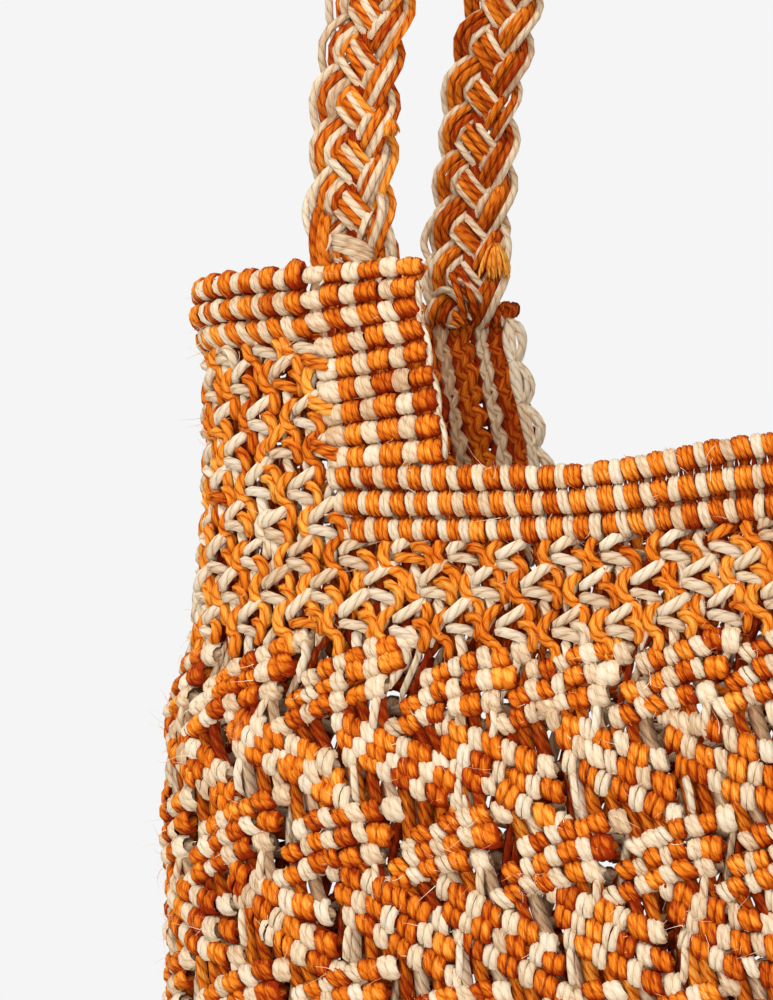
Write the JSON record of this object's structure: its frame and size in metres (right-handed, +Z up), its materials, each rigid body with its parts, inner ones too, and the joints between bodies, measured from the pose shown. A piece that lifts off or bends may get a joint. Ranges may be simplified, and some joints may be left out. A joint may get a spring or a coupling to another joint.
{
  "type": "shopper bag",
  "caption": "Soft open-topped shopper bag knotted from orange and cream jute twine, with slanting corded blocks, an open net band, raised ends, corded rims and braided carrying handles.",
  "frame": {"origin": "middle of the flat base, on the surface that the bag stands on", "axes": "+Z up, -Y towards the front face with the nearer handle, +X to the right seen from the front"},
  "size_m": [0.412, 0.132, 0.5573],
  "materials": {
    "body_twine": "matte, fibrous orange and natural jute twine, knotted",
    "net_twine": "matte, fibrous orange and natural jute twine, netted",
    "rim_twine": "matte, fibrous orange and natural jute twine, wrapped in fat cords",
    "tab_twine": "matte, fibrous orange and natural jute twine, wrapped in thin cords",
    "handle_twine": "matte, fibrous orange and natural jute twine, braided"
  },
  "bodies": {
    "root": {"wave_body": "body_twine", "net_ring": "net_twine", "left_side_net": "net_twine", "right_side_net": "net_twine", "left_side_band": "rim_twine", "right_side_band": "rim_twine", "front_rim": "rim_twine", "back_rim": "rim_twine", "front_left_tab": "tab_twine", "front_right_tab": "tab_twine", "back_left_tab": "tab_twine", "back_right_tab": "tab_twine", "front_handle": "handle_twine", "back_handle": "handle_twine"}
  },
  "joints": []
}
